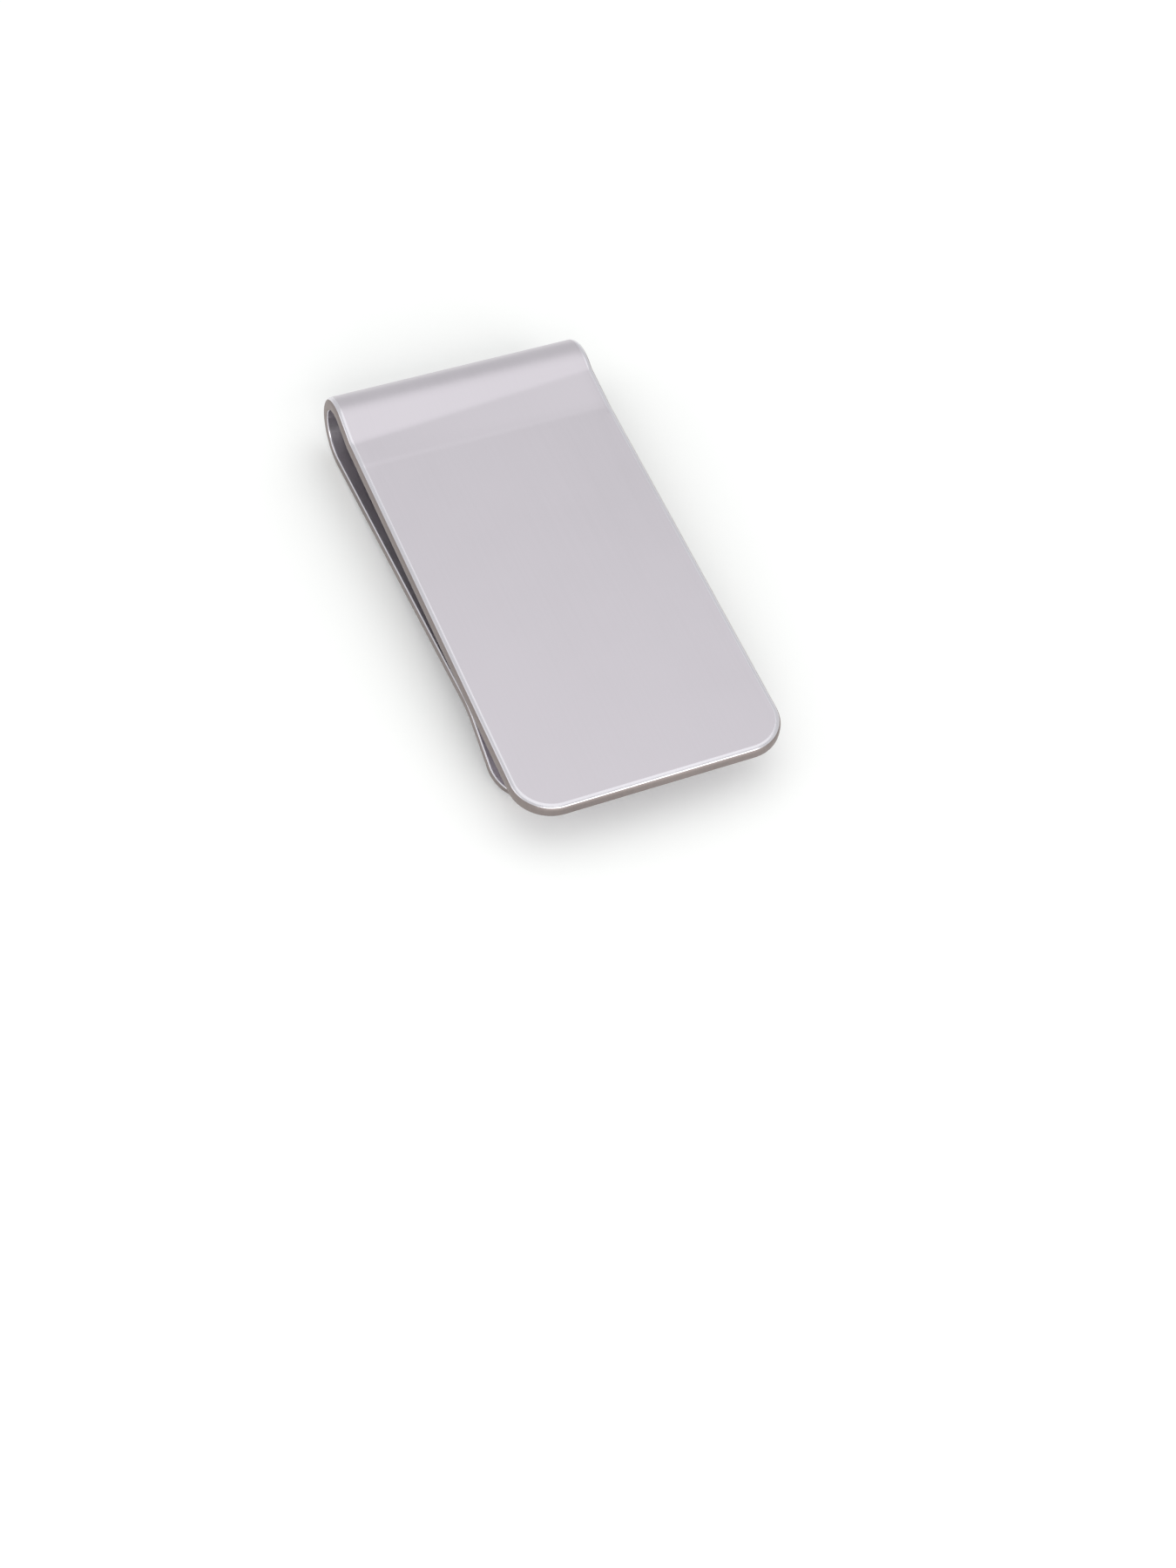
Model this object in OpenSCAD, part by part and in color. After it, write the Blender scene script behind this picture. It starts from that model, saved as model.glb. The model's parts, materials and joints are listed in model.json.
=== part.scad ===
// Money clip: one strip of spring steel folded over on itself. A flat front leg shows on top, a
// round bend at the rear is the spring, and a sprung back leg presses up against the front leg
// along a ridge near the mouth. Past the ridge the strip turns down to lead the notes in.
// Each node is one stretch of this strip: it ends where the next curve or flat begins.
//
// X runs across the strip, Y along the legs with the mouth at -Y, Z up. The clip lies as it does
// on a table: on the underside of the bend and on the tip of the back leg. The origin is on the
// table, under the middle of the clip's box.

/* [Strip] */
// Width of the strip
strip_w = 25.4; // [15:0.1:35]
// Thickness of the strip
strip_t = 1.2; // [0.6:0.05:1.5]
// Length of the front leg, from the rear of the bend to the tip
clip_l = 52; // [42:0.5:70]

/* [Front leg] */
// Radius of the two corners at the front leg's tip
front_corner_r = 3.8; // [1:0.1:7]

/* [Bend] */
// Outer radius of the bend
bend_r = 3.8; // [2.8:0.1:5.5]
// Angle at which the strip runs down from the bend to the flat front leg
crest_angle = 18; // [6:1:24]
// Radius that blends this slope into the flat front leg
blend_r = 15; // [8:0.5:30]

/* [Back leg] */
// Distance from the front leg's tip back to the ridge
ridge_inset = 14; // [11:0.5:20]
// Radius of the ridge on the side that presses on the notes
ridge_r = 6; // [3:0.5:10]
// Gap between the ridge and the front leg when nothing is held
ridge_gap = 0.1; // [0.05:0.01:0.5]
// Angle at which the lead-in turns down from the front leg
lead_angle = 20; // [12:1:28]
// Length of the flat lead-in past the ridge
lead_l = 8; // [5:0.5:9]
// Radius of the two corners at the back leg's tip
back_corner_r = 3.8; // [1:0.1:4.9]

/* [Flexing] */
// Angle from the underside of the bend, round towards the rear, at which the bend starts to flex
flex_start = 10; // [8:1:30]

/* [Hidden] */
$fn = 180;

// The side profile has its own axes: the centre of the bend is at [0, 0] and the front leg is level.
// Angles in it are counted from the rear of the bend, anticlockwise, and -Y is towards the mouth.
bend_inner_r = bend_r - strip_t;
tip_y = bend_r - clip_l;

// The outer face leaves the bend past its crest and comes level at the front of the blend.
crest_end = 90 + crest_angle;
blend_y = (bend_r + blend_r) * cos(crest_end);
blend_z = (bend_r + blend_r) * sin(crest_end);
front_top = blend_z - blend_r;
front_under = front_top - strip_t;
front_l = blend_y - tip_y;

// The back leg is the straight line that touches the inside of the bend and the top of the ridge.
ridge_y = tip_y + ridge_inset;
ridge_z = front_under - ridge_gap - ridge_r;
ridge_under_r = ridge_r - strip_t;
ridge_reach = norm([ridge_y, ridge_z]);
leg_rise = asin((bend_inner_r + ridge_r) / ridge_reach) - atan2(-ridge_z, -ridge_y);
leg_l = sqrt(ridge_reach ^ 2 - (bend_inner_r + ridge_r) ^ 2);
bend_start = -90 - leg_rise;

// The lowest line at the tip of the lead-in, which stands on the table.
toe_y = ridge_y - ridge_under_r * sin(lead_angle) - lead_l * cos(lead_angle);
toe_z = ridge_z + ridge_under_r * cos(lead_angle) - lead_l * sin(lead_angle);

// The clip leans until the bend and this line are both on the table.
lean = asin(bend_r / norm([toe_y, toe_z])) - atan2(-toe_z, -toe_y);
front_y = tip_y * cos(lean) - front_top * sin(lean);
middle_y = (front_y + bend_r) / 2;

// Puts a shape made on the side profile's axes onto the table.
module lying() {
    translate([0, -middle_y, bend_r])
        rotate([lean, 0, 0])
            children();
}

// A stretch of the strip curved about [y, z], from one angle to another.
module curved_strip(y, z, inner_r, from, to) {
    translate([0, y, z])
        rotate([90, 0, 90])
            rotate([0, 0, from])
                rotate_extrude(angle = to - from)
                    translate([inner_r, -strip_w / 2])
                        square([strip_t, strip_w]);
}

// A flat stretch of the strip that runs along -Y from the origin, with its top at z = 0.
module flat_strip(length) {
    translate([-strip_w / 2, -length, -strip_t])
        cube([strip_w, length, strip_t]);
}

// The same, ending in two round corners.
module tongue(length, corner_r) {
    translate([0, -length, -strip_t])
        linear_extrude(strip_t)
            difference() {
                translate([-strip_w / 2, 0])
                    square([strip_w, length]);
                for (side = [-1, 1])
                    translate([side * strip_w / 2, 0])
                        difference() {
                            square(2 * corner_r, center = true);
                            translate([-side * corner_r, corner_r])
                                circle(corner_r);
                        }
            }
}

// The front leg, flat from the shoulder to its rounded tip.
module front_leg() {
    color("gainsboro")
        lying()
            translate([0, blend_y, front_top])
                tongue(front_l, front_corner_r);
}

// The shoulder, a hollow curve that comes down from the bend and levels out into the front leg.
module shoulder() {
    color("lightgray")
        lying()
            curved_strip(blend_y, blend_z, blend_r, -90, crest_angle - 90);
}

// The round bend that flexes, from just behind the underside over the rear to past the crest.
module spring_bend() {
    color("silver")
        lying()
            curved_strip(0, 0, bend_inner_r, flex_start - 90, crest_end);
}

// The heel, the foot of the bend that the clip stands on.
module heel() {
    color("darkgray")
        lying()
            curved_strip(0, 0, bend_inner_r, bend_start, flex_start - 90);
}

// The back leg, flat from the heel up to the ridge.
module back_leg() {
    color("lightsteelblue")
        lying()
            rotate([-leg_rise, 0, 0])
                translate([0, 0, -bend_inner_r])
                    flat_strip(leg_l);
}

// The ridge that presses the notes against the front leg.
module grip_ridge() {
    color("slategray")
        lying()
            curved_strip(ridge_y, ridge_z, ridge_under_r, 90 - leg_rise, 90 + lead_angle);
}

// The lead-in, flat from the ridge down to its rounded tip, which stands on the table.
module lead_in() {
    color("lightslategray")
        lying()
            translate([0, ridge_y, ridge_z])
                rotate([lead_angle, 0, 0])
                    translate([0, 0, ridge_r])
                        tongue(lead_l, back_corner_r);
}

front_leg();
shoulder();
spring_bend();
heel();
back_leg();
grip_ridge();
lead_in();
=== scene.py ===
import json
from math import asin, atan2, cos, hypot, pi, radians, sin, sqrt, tan

import bmesh
import bpy
from mathutils import Matrix, Vector


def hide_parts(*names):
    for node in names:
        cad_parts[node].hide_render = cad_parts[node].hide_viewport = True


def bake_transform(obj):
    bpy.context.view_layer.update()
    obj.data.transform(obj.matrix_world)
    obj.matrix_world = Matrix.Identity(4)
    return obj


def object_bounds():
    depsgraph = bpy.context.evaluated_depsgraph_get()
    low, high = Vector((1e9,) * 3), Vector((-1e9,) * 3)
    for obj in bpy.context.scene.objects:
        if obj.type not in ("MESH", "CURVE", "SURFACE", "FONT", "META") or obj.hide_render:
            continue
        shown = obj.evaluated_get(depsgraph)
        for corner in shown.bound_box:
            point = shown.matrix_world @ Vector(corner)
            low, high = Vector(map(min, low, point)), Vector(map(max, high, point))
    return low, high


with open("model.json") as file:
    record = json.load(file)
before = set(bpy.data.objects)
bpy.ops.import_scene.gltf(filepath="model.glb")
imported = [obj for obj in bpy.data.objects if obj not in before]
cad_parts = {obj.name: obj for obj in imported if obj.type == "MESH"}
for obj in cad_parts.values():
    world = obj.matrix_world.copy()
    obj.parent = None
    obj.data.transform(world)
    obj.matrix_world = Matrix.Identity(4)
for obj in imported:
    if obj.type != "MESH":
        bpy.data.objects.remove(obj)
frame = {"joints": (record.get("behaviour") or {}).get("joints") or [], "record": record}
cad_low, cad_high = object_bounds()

scene = bpy.context.scene
scene.view_settings.view_transform = "Standard"

# Camera. It stands to the front and left of the clip and looks down on the front leg, with the
# bend away from it. It is turned a little about its own axis.
lens_mm, sensor_mm = 58.02, 36.0
camera_place = Vector((-0.06629, -0.13725, 0.17885))
look_azimuth, look_down, camera_roll = radians(28.015), radians(53.616), radians(6.721)

look = Vector(
    (
        sin(look_azimuth) * cos(look_down),
        cos(look_azimuth) * cos(look_down),
        -sin(look_down),
    )
)
camera_data = bpy.data.cameras.new("camera")
camera_data.lens, camera_data.sensor_width = lens_mm, sensor_mm
camera_data.clip_start, camera_data.clip_end = 0.005, 20.0
camera = bpy.data.objects.new("camera", camera_data)
camera_turn = look.to_track_quat("-Z", "Y").to_matrix() @ Matrix.Rotation(camera_roll, 3, "Z")
camera.matrix_world = Matrix.Translation(camera_place) @ camera_turn.to_4x4()
scene.collection.objects.link(camera)
scene.camera = camera

# Studio. The clip lies on a plain white sheet in an evenly lit room. One soft light is overhead, a
# stronger one in front draws the bright line along the rounded edges, and a weak one is at left.
sheet_side = 6.0
sheet_white = (0.96, 0.96, 0.95, 1.0)
room_white, room_strength = (0.985, 1.0, 1.0, 1.0), 0.80

bpy.ops.object.select_all(action="DESELECT")
bpy.ops.mesh.primitive_plane_add(size=sheet_side, location=(0.0, 0.0, 0.0))
sheet = bpy.context.object
sheet.name = "table_sheet"
sheet_paper = bpy.data.materials.new("table_white")
sheet_paper.use_nodes = True
sheet_shader = sheet_paper.node_tree.nodes["Principled BSDF"]
sheet_shader.inputs["Base Color"].default_value = sheet_white
sheet_shader.inputs["Roughness"].default_value = 0.9
sheet_shader.inputs["Specular IOR Level"].default_value = 0.0
sheet.data.materials.append(sheet_paper)

room = bpy.data.worlds.new("room")
scene.world = room
room.use_nodes = True
room.node_tree.nodes["Background"].inputs["Color"].default_value = room_white
room.node_tree.nodes["Background"].inputs["Strength"].default_value = room_strength


def soft_light(name, place, aim, width, depth, radiance):
    """A rectangular soft light of one radiance, aimed at a point on the clip."""
    light = bpy.data.lights.new(name, "AREA")
    light.shape = "RECTANGLE"
    light.size, light.size_y = width, depth
    light.energy = radiance * pi * width * depth
    holder = bpy.data.objects.new(name, light)
    holder.location = place
    holder.rotation_euler = (Vector(aim) - Vector(place)).to_track_quat("-Z", "Y").to_euler()
    holder.visible_camera = False
    scene.collection.objects.link(holder)


soft_light(
    "light_overhead",
    place=(0.08, 0.06, 0.80),
    aim=(0.0, 0.0, 0.0),
    width=0.90,
    depth=0.90,
    radiance=0.44,
)
soft_light(
    "light_front",
    place=(-0.05, -0.78, 0.42),
    aim=(0.0, -0.02, 0.0),
    width=1.00,
    depth=0.50,
    radiance=2.3,
)
soft_light(
    "light_left",
    place=(-0.80, 0.16, 0.34),
    aim=(0.0, 0.02, 0.0),
    width=0.60,
    depth=0.40,
    radiance=0.6,
)

# Satin steel. The strip is brushed along its length before it is bent, so the fine lines run with
# it round every curve. Its sheared sides are duller and rougher, and painted shade with a painted
# brown reflection makes them darker and a little brown. The upper part of its rounded edges is
# rubbed bright, and the lower part gets the same painted shade as the sheared sides. All are the
# one spring steel strip.
steel_colour = (0.602, 0.567, 0.607)
# Darker and browner than the steel: painted shade and a painted brown reflection on the sheared
# sides.
sheared_and_shaded_colour = (0.29, 0.25, 0.24)
rubbed_colour = (0.70, 0.68, 0.72)
brush_line, brush_run = 0.00005, 0.006
fine_detail = 2.0
coarse_line, coarse_run = brush_line / 0.2, brush_run / 0.35
coarse_detail, coarse_harshness, coarse_depth = 3.0, 0.6, 2.0
cloud_size, cloud_detail = 0.011, 2.0
noise_low, noise_high = 0.3, 0.7
cloud_tint, coarse_tint = 0.6, 0.4
cloud_polish, coarse_polish = 0.02, 0.03


def steel_finish(name, colour, roughness, brush_depth, cloud):
    """One finish of the strip: its colour and how far clouds change it, its roughness, and how deep
    the brushed lines are."""
    finish = bpy.data.materials.new(name)
    finish.use_nodes = True
    nodes, links = finish.node_tree.nodes, finish.node_tree.links
    shader = nodes["Principled BSDF"]
    shader.inputs["Metallic"].default_value = 1.0
    place = nodes.new("ShaderNodeTexCoord")

    def noise(scale, detail, harshness=0.5):
        stretch = nodes.new("ShaderNodeMapping")
        stretch.inputs["Scale"].default_value = scale
        links.new(place.outputs["Object"], stretch.inputs["Vector"])
        texture = nodes.new("ShaderNodeTexNoise")
        texture.inputs["Scale"].default_value = 1.0
        texture.inputs["Detail"].default_value = detail
        texture.inputs["Roughness"].default_value = harshness
        links.new(stretch.outputs["Vector"], texture.inputs["Vector"])
        return texture.outputs["Fac"]

    def spread(value, low, high):
        to_range = nodes.new("ShaderNodeMapRange")
        to_range.inputs["From Min"].default_value = noise_low
        to_range.inputs["From Max"].default_value = noise_high
        to_range.inputs["To Min"].default_value = low
        to_range.inputs["To Max"].default_value = high
        links.new(value, to_range.inputs["Value"])
        return to_range.outputs["Result"]

    fine = noise((1 / brush_line, 1 / brush_run, 1 / brush_run), fine_detail)
    coarse = noise(
        (1 / coarse_line, 1 / coarse_run, 1 / coarse_run), coarse_detail, coarse_harshness
    )
    clouds = noise((1 / cloud_size,) * 3, cloud_detail)

    tint = nodes.new("ShaderNodeMix")
    tint.data_type = "RGBA"
    tint.inputs["A"].default_value = (*[c * (1 - cloud) for c in colour], 1.0)
    tint.inputs["B"].default_value = (*[min(1.0, c * (1 + cloud)) for c in colour], 1.0)
    shade = nodes.new("ShaderNodeMath")
    shade.operation = "ADD"
    links.new(spread(clouds, 0.0, cloud_tint), shade.inputs[0])
    links.new(spread(coarse, 0.0, coarse_tint), shade.inputs[1])
    links.new(shade.outputs["Value"], tint.inputs["Factor"])
    links.new(tint.outputs["Result"], shader.inputs["Base Color"])

    polish = nodes.new("ShaderNodeMath")
    polish.operation = "ADD"
    links.new(
        spread(clouds, roughness - cloud_polish, roughness + cloud_polish), polish.inputs[0]
    )
    links.new(spread(coarse, -coarse_polish, coarse_polish), polish.inputs[1])
    links.new(polish.outputs["Value"], shader.inputs["Roughness"])

    lines = nodes.new("ShaderNodeMath")
    lines.operation = "MULTIPLY_ADD"
    lines.inputs[1].default_value = coarse_depth
    links.new(coarse, lines.inputs[0])
    links.new(fine, lines.inputs[2])
    bump = nodes.new("ShaderNodeBump")
    bump.inputs["Strength"].default_value = 1.0
    bump.inputs["Distance"].default_value = brush_depth
    links.new(lines.outputs["Value"], bump.inputs["Height"])
    links.new(bump.outputs["Normal"], shader.inputs["Normal"])
    return finish


satin_steel = steel_finish(
    "satin_steel", steel_colour, roughness=0.36, brush_depth=0.0000012, cloud=0.03
)
# Sheared finish: duller, rougher steel whose darker brown colour is painted shade and a painted
# reflection.
sheared_steel_and_shade = steel_finish(
    "sheared_steel_and_shade", sheared_and_shaded_colour, roughness=0.50, brush_depth=0.0000030, cloud=0.12
)
rubbed_steel = steel_finish(
    "rubbed_steel", rubbed_colour, roughness=0.26, brush_depth=0.0000008, cloud=0.05
)
# The sheared finish carries painted shade, on the cut faces and on the lower rings of the rounded
# edges.
OUTER, SHEARED_AND_SHADED, INNER, RUBBED = 0, 1, 2, 3
finishes = (satin_steel, sheared_steel_and_shade, satin_steel, rubbed_steel)

# Front half of the strip. The flat front leg with its two round corners runs back to a shoulder,
# up its short slope and over the top of the bend. The press left the foot of the slope along a line
# that isn't quite square to the strip.
strip_t = 0.0012
bend_r, blend_r = 0.0038, 0.015
crest_angle = radians(18.0)
front_corner_r, corner_steps = 0.0038, 20
outer_break, inner_break = 0.00055, 0.00020
# The lower rings of each rounded edge take the darker sheared finish as painted shade.
break_rings, shaded_rings = 8, 4
smooth_angle, flat_weight = radians(35.0), 100
same_place, merge_gap, cut_facing = 1e-6, 1e-7, 0.9
arc_step = radians(1.0)
flex_reach, flex_steps = 0.0020, 8
slope_steps, slope_columns = 52, 16
break_left, break_right, break_round = 0.0075, 0.0057, 0.00010
fade_end, fade_angle, fade_round = 0.0104, radians(5.2), 0.00006

low_hinge, high_hinge = (Vector(joint["pos_m"]) for joint in frame["joints"])
front_normal = Vector(frame["record"]["mounts"][0]["axis"])
lean = atan2(-front_normal.y, front_normal.z)
strip_w = cad_high.x - cad_low.x
to_mouth = Vector((0.0, -cos(lean), -sin(lean)))
blend_centre = high_hinge + front_normal * blend_r
crest_end = radians(90.0) + crest_angle + lean
bend_centre = blend_centre - Vector((0.0, cos(crest_end), sin(crest_end))) * (bend_r + blend_r)
front_l = (high_hinge.y - cad_low.y) / cos(lean)
front_tip = high_hinge + to_mouth * front_l


def flat_panel(name, start, end):
    """A flat stretch of sheet as wide as the strip, from one line across it to another."""
    run = start - end
    bpy.ops.object.select_all(action="DESELECT")
    bpy.ops.mesh.primitive_plane_add(
        size=1.0, location=(start + end) / 2, rotation=(atan2(run.z, run.y), 0.0, 0.0)
    )
    panel = bpy.context.object
    panel.name = panel.data.name = name
    panel.scale = (strip_w, run.length, 1.0)
    bpy.ops.object.transform_apply(location=True, rotation=True, scale=True)
    return panel


def select_edges(piece, wanted):
    """Selects the edges that a test picks, in edit mode."""
    bpy.ops.mesh.select_mode(type="EDGE")
    bpy.ops.mesh.select_all(action="DESELECT")
    mesh = bmesh.from_edit_mesh(piece.data)
    for edge in mesh.edges:
        if wanted(edge):
            edge.select_set(True)
    bmesh.update_edit_mesh(piece.data)


def across_at(place):
    """Picks the edge that crosses the strip at a place."""
    return lambda edge: all(
        hypot(v.co.y - place.y, v.co.z - place.z) < same_place for v in edge.verts
    )


def press_round(centre, angle):
    """Carries the selected edge round a bar. The angle counts from +Y up towards +Z."""
    steps = max(1, round(abs(angle) / arc_step))
    bpy.ops.mesh.spin(steps=steps, angle=-angle, center=centre, axis=(1.0, 0.0, 0.0))


def run_on(step, count=1):
    """Carries the selected edge on in a straight line."""
    for _ in range(count):
        bpy.ops.mesh.extrude_region_move(TRANSFORM_OT_translate={"value": step})


def round_corners(piece, tip, radius):
    """Rounds the two corners of the sheet at its tip."""
    bpy.ops.mesh.select_mode(type="VERT")
    bpy.ops.mesh.select_all(action="DESELECT")
    mesh = bmesh.from_edit_mesh(piece.data)
    for v in mesh.verts:
        v.select_set(hypot(v.co.y - tip.y, v.co.z - tip.z) < same_place)
    bmesh.update_edit_mesh(piece.data)
    bpy.ops.mesh.bevel(offset=radius, segments=corner_steps, affect="VERTICES")


def meets_sheared(edge, kind):
    """Whether an edge lies between a face of one kind and the strip's sheared side. The cut in the
    bend, which faces straight up or down, doesn't count."""
    kinds = sorted(face.material_index for face in edge.link_faces)
    in_the_cut = any(
        face.material_index == SHEARED_AND_SHADED and abs(face.normal.z) > cut_facing
        for face in edge.link_faces
    )
    return kinds == sorted((kind, SHEARED_AND_SHADED)) and not in_the_cut


def shade_lower_rings(piece):
    """Paints the part of each rounded edge nearer the sheared side with that side's darker finish,
    as painted shade where the edge turns down.
    """
    mesh = bmesh.from_edit_mesh(piece.data)
    for _ in range(shaded_rings):
        ring = [edge.link_faces for edge in mesh.edges if meets_sheared(edge, RUBBED)]
        for face in {face for pair in ring for face in pair}:
            face.material_index = SHEARED_AND_SHADED
    bmesh.update_edit_mesh(piece.data)


def break_edges(piece, side, width):
    """Rounds the sheared edges of one face of the strip, and leaves the cut in the bend alone."""
    select_edges(piece, lambda edge: meets_sheared(edge, side))
    bpy.ops.mesh.bevel(
        offset=width, segments=break_rings, affect="EDGES", material=RUBBED, clamp_overlap=False
    )


def finish_sheet(piece, outward):
    """Gives a bent sheet its thickness, breaks its edges and hands it its finishes."""
    bpy.ops.mesh.select_all(action="SELECT")
    bpy.ops.mesh.remove_doubles(threshold=merge_gap)
    bpy.ops.mesh.normals_make_consistent(inside=False)
    bpy.ops.object.mode_set(mode="OBJECT")
    biggest = max(piece.data.polygons, key=lambda face: face.area)
    if biggest.normal.dot(outward) < 0:
        bpy.ops.object.mode_set(mode="EDIT")
        bpy.ops.mesh.flip_normals()
        bpy.ops.object.mode_set(mode="OBJECT")
    for finish in finishes:
        piece.data.materials.append(finish)
    wall = piece.modifiers.new("wall", "SOLIDIFY")
    wall.thickness, wall.offset = strip_t, -1.0
    wall.use_even_offset = True
    # The cut faces take the sheared finish, darkened with painted shade.
    wall.material_offset, wall.material_offset_rim = INNER, SHEARED_AND_SHADED
    bpy.ops.object.modifier_apply(modifier=wall.name)
    bpy.ops.object.mode_set(mode="EDIT")
    break_edges(piece, OUTER, outer_break)
    break_edges(piece, INNER, inner_break)
    # Painted shade on the lower half of each rounded edge.
    shade_lower_rings(piece)
    bpy.ops.object.mode_set(mode="OBJECT")
    bpy.ops.object.shade_smooth_by_angle(angle=smooth_angle)
    flats = piece.modifiers.new("flats", "WEIGHTED_NORMAL")
    flats.keep_sharp, flats.weight = True, flat_weight
    bpy.ops.object.modifier_apply(modifier=flats.name)


def soft_greater(a, b, width):
    """The greater of two heights, rounded where they cross."""
    return max(a, b) + max(width - abs(a - b), 0.0) ** 2 / (4 * width)


def slope_height(along, side):
    """How high the sheet stands off the flat of the leg, at a distance in front of the bend's
    middle and from 0 to 1 across the strip."""
    break_along = break_left + (break_right - break_left) * side - bend_r
    fade_slope = tan(fade_angle) * side
    break_height = (fade_end - bend_r - break_along) * fade_slope
    drop = bend_r - crest_height
    reach = hypot(break_along, break_height + drop)
    slope = asin(bend_r / reach) - atan2(break_height + drop, break_along)
    if along < bend_r * sin(slope):
        return sqrt(bend_r**2 - along**2) - drop
    steep = break_height + (break_along - along) * tan(slope)
    gentle = soft_greater((fade_end - bend_r - along) * fade_slope, 0.0, fade_round)
    return soft_greater(steep, gentle, break_round)


crest_height = (bend_centre - high_hinge).dot(front_normal) + bend_r
crest_run = (high_hinge - bend_centre).dot(to_mouth)

front_half = flat_panel("front_half", high_hinge + to_mouth * flex_reach, front_tip)
bpy.ops.object.mode_set(mode="EDIT")
select_edges(front_half, across_at(high_hinge + to_mouth * flex_reach))
run_on(-to_mouth * flex_reach / flex_steps, flex_steps)
run_on(-to_mouth * crest_run / slope_steps, slope_steps)
select_edges(
    front_half,
    lambda edge: abs(edge.verts[0].co.x - edge.verts[1].co.x) > strip_w / 2
    and edge.verts[0].co.y > front_tip.y / 2,
)
bpy.ops.mesh.subdivide(number_cuts=slope_columns - 1)
slope_mesh = bmesh.from_edit_mesh(front_half.data)
for v in slope_mesh.verts:
    along = (v.co - bend_centre).dot(to_mouth)
    if along < crest_run + flex_reach / 2:
        v.co += front_normal * slope_height(along, v.co.x / strip_w + 0.5)
bmesh.update_edit_mesh(front_half.data)
select_edges(front_half, across_at(bend_centre + front_normal * bend_r))
press_round(bend_centre, -radians(90.0) - lean)
round_corners(front_half, front_tip, front_corner_r)
finish_sheet(front_half, front_normal)

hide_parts("front_leg", "shoulder", "spring_bend")
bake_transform(front_half)

# Back half of the strip. From the cut in the bend it runs round underneath, flat up the back leg
# to the ridge that grips the notes, and down the short lead-in to the tip that stands on the
# table. In the real clip it is one piece with the front half.
ridge_inset, ridge_gap, ridge_r = 0.014, 0.0001, 0.006
lead_angle, lead_l = radians(20.0), 0.008
back_corner_r = 0.0038

ridge_centre = (
    front_tip - to_mouth * ridge_inset - front_normal * (strip_t + ridge_gap + ridge_r)
)
ridge_reach = hypot(ridge_centre.y - bend_centre.y, ridge_centre.z - bend_centre.z)
ridge_dip = atan2(bend_centre.z - ridge_centre.z, bend_centre.y - ridge_centre.y)
back_rise = asin((bend_r - strip_t + ridge_r) / ridge_reach) - ridge_dip
back_normal = Vector((0.0, sin(back_rise), cos(back_rise)))
heel_start = bend_centre - back_normal * bend_r
ridge_start = ridge_centre + back_normal * (ridge_r - strip_t)
ridge_turn = back_rise + lead_angle + lean
lead_run = Vector((0.0, -cos(lead_angle + lean), -sin(lead_angle + lean)))
ridge_end = ridge_centre + Vector((0.0, lead_run.z, -lead_run.y)) * (ridge_r - strip_t)

back_half = flat_panel("back_half", heel_start, ridge_start)
bpy.ops.object.mode_set(mode="EDIT")
select_edges(back_half, across_at(heel_start))
press_round(bend_centre, radians(90.0) + back_rise)
select_edges(back_half, across_at(ridge_start))
press_round(ridge_centre, ridge_turn)
run_on(lead_run * lead_l)
round_corners(back_half, ridge_end + lead_run * lead_l, back_corner_r)
finish_sheet(back_half, -back_normal)

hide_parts("heel", "back_leg", "grip_ridge", "lead_in")
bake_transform(back_half)
